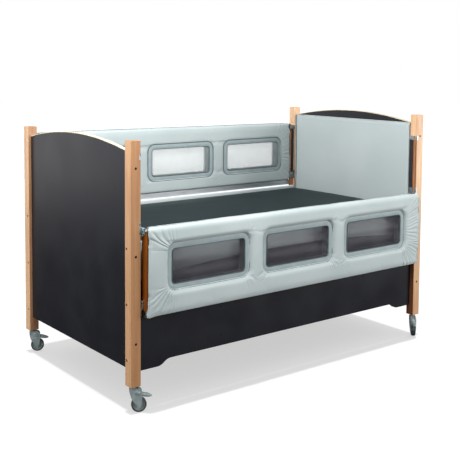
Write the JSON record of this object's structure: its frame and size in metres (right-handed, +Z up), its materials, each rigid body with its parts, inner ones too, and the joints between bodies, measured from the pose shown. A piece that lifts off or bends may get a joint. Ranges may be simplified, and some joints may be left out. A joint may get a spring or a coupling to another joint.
{
  "type": "safety bed",
  "caption": "Wheeled safety bed with wooden corner posts, arched end panels, a mattress and padded windowed side rails that lift and lower.",
  "frame": {"origin": "on the floor under the middle of the bed", "axes": "+X towards the head end, -Y the near side, +Z up"},
  "size_m": [2.1, 1.268, 1.388],
  "materials": {
    "beech": "clear satin lacquer on beech",
    "stile_wood": "clear satin lacquer",
    "pale_band": "bent pale wood band",
    "black_board": "satin black laminate on board",
    "pine": "planed, bare",
    "mattress_fabric": "woven, dark grey",
    "liner_fabric": "woven, pale grey",
    "cover_fabric": "coated woven, pale blue grey",
    "clear_sheet": "clear flexible sheet",
    "binding_fabric": "woven binding",
    "satin_aluminium": "satin anodised",
    "zinc_plate": "zinc plated",
    "teal_button": "moulded",
    "castor_tyre": "soft tread",
    "castor_plastic": "moulded grey plastic",
    "black_plastic": "black moulded strip",
    "dark_steel": "black oxide",
    "socket_steel": "zinc plated"
  },
  "bodies": {
    "bed_frame": {"bearer_cleats": "pine", "board_screws": "dark_steel", "castor_sockets": "socket_steel", "cross_bearers": "pine", "far_liner_pad": "liner_fabric", "far_side_board": "black_board", "foot_far_post": "beech", "foot_liner_pad": "liner_fabric", "foot_near_post": "beech", "foot_panel": "black_board", "head_far_post": "beech", "head_liner_pad": "liner_fabric", "head_near_post": "beech", "head_panel": "black_board", "mattress": "mattress_fabric", "near_liner_pad": "liner_fabric", "near_side_board": "black_board", "panel_edge_bands": "pale_band", "platform_ledges": "black_board", "platform_slats": "pine", "post_bolts": "dark_steel", "rail_guides": "black_plastic", "rail_stops": "zinc_plate", "strike_plates": "zinc_plate"},
    "near_rail": {"near_rail_bottom_bar": "satin_aluminium", "near_rail_cover": "cover_fabric", "near_rail_foot_stile": "stile_wood", "near_rail_head_stile": "stile_wood", "near_rail_slide_blocks": "zinc_plate", "near_rail_top_tube": "satin_aluminium", "near_rail_window_bindings": "binding_fabric", "near_rail_window_panes": "clear_sheet"},
    "far_rail": {"far_rail_bottom_bar": "satin_aluminium", "far_rail_cover": "cover_fabric", "far_rail_foot_stile": "stile_wood", "far_rail_head_stile": "stile_wood", "far_rail_slide_blocks": "zinc_plate", "far_rail_top_tube": "satin_aluminium", "far_rail_window_bindings": "binding_fabric", "far_rail_window_panes": "clear_sheet"},
    "foot_far_swivel": {"foot_far_castor_fork": "castor_plastic"},
    "foot_far_pedal": {"foot_far_castor_pedal": "castor_plastic"},
    "foot_far_wheel": {"foot_far_castor_tyre": "castor_tyre", "foot_far_castor_wheel": "castor_plastic"},
    "foot_far_release_button": {"foot_far_release_button": "teal_button"},
    "foot_near_swivel": {"foot_near_castor_fork": "castor_plastic"},
    "foot_near_pedal": {"foot_near_castor_pedal": "castor_plastic"},
    "foot_near_wheel": {"foot_near_castor_tyre": "castor_tyre", "foot_near_castor_wheel": "castor_plastic"},
    "foot_near_release_button": {"foot_near_release_button": "teal_button"},
    "head_far_swivel": {"head_far_castor_fork": "castor_plastic"},
    "head_far_pedal": {"head_far_castor_pedal": "castor_plastic"},
    "head_far_wheel": {"head_far_castor_tyre": "castor_tyre", "head_far_castor_wheel": "castor_plastic"},
    "head_far_release_button": {"head_far_release_button": "teal_button"},
    "head_near_swivel": {"head_near_castor_fork": "castor_plastic"},
    "head_near_pedal": {"head_near_castor_pedal": "castor_plastic"},
    "head_near_wheel": {"head_near_castor_tyre": "castor_tyre", "head_near_castor_wheel": "castor_plastic"},
    "head_near_release_button": {"head_near_release_button": "teal_button"}
  },
  "joints": [
    {"name": "near_rail_lift", "type": "slide", "parent": "bed_frame", "child": "near_rail", "axis": [0, 0, 1], "range_m": [0, 0.36]},
    {"name": "far_rail_lift", "type": "slide", "parent": "bed_frame", "child": "far_rail", "axis": [0, 0, 1], "range_m": [-0.36, 0]},
    {"name": "foot_near_release_press", "type": "slide", "parent": "near_rail", "child": "foot_near_release_button", "axis": [0, 1, 0], "range_m": [0, 0.008], "stiffness_N_per_m": 400},
    {"name": "foot_near_castor_swivel", "type": "hinge", "parent": "bed_frame", "child": "foot_near_swivel", "pos_m": [-1.022, -0.562, 0.132], "axis": [0, 0, 1], "continuous": true},
    {"name": "foot_near_castor_roll", "type": "hinge", "parent": "foot_near_swivel", "child": "foot_near_wheel", "pos_m": [-0.99662, -0.57383, 0.0375], "axis": [0.4226, 0.9063, 0], "continuous": true},
    {"name": "foot_near_castor_brake", "type": "hinge", "parent": "foot_near_swivel", "child": "foot_near_pedal", "pos_m": [-0.98937, -0.57721, 0.087], "axis": [0.4226, 0.9063, 0], "range_deg": [0, 14]},
    {"name": "foot_far_release_press", "type": "slide", "parent": "far_rail", "child": "foot_far_release_button", "axis": [0, -1, 0], "range_m": [0, 0.008], "stiffness_N_per_m": 400},
    {"name": "foot_far_castor_swivel", "type": "hinge", "parent": "bed_frame", "child": "foot_far_swivel", "pos_m": [-1.022, 0.562, 0.132], "axis": [0, 0, 1], "continuous": true},
    {"name": "foot_far_castor_roll", "type": "hinge", "parent": "foot_far_swivel", "child": "foot_far_wheel", "pos_m": [-0.99662, 0.55017, 0.0375], "axis": [0.4226, 0.9063, 0], "continuous": true},
    {"name": "foot_far_castor_brake", "type": "hinge", "parent": "foot_far_swivel", "child": "foot_far_pedal", "pos_m": [-0.98937, 0.54679, 0.087], "axis": [0.4226, 0.9063, 0], "range_deg": [0, 14]},
    {"name": "head_near_release_press", "type": "slide", "parent": "near_rail", "child": "head_near_release_button", "axis": [0, 1, 0], "range_m": [0, 0.008], "stiffness_N_per_m": 400},
    {"name": "head_near_castor_swivel", "type": "hinge", "parent": "bed_frame", "child": "head_near_swivel", "pos_m": [1.022, -0.562, 0.132], "axis": [0, 0, 1], "continuous": true},
    {"name": "head_near_castor_roll", "type": "hinge", "parent": "head_near_swivel", "child": "head_near_wheel", "pos_m": [1.00476, -0.58406, 0.0375], "axis": [0.788, -0.6157, 0], "continuous": true},
    {"name": "head_near_castor_brake", "type": "hinge", "parent": "head_near_swivel", "child": "head_near_pedal", "pos_m": [0.99984, -0.59037, 0.087], "axis": [0.788, -0.6157, 0], "range_deg": [0, 14]},
    {"name": "head_far_release_press", "type": "slide", "parent": "far_rail", "child": "head_far_release_button", "axis": [0, -1, 0], "range_m": [0, 0.008], "stiffness_N_per_m": 400},
    {"name": "head_far_castor_swivel", "type": "hinge", "parent": "bed_frame", "child": "head_far_swivel", "pos_m": [1.022, 0.562, 0.132], "axis": [0, 0, 1], "continuous": true},
    {"name": "head_far_castor_roll", "type": "hinge", "parent": "head_far_swivel", "child": "head_far_wheel", "pos_m": [0.99775, 0.576, 0.0375], "axis": [-0.5, -0.866, 0], "continuous": true},
    {"name": "head_far_castor_brake", "type": "hinge", "parent": "head_far_swivel", "child": "head_far_pedal", "pos_m": [0.99082, 0.58, 0.087], "axis": [-0.5, -0.866, 0], "range_deg": [0, 14]}
  ]
}
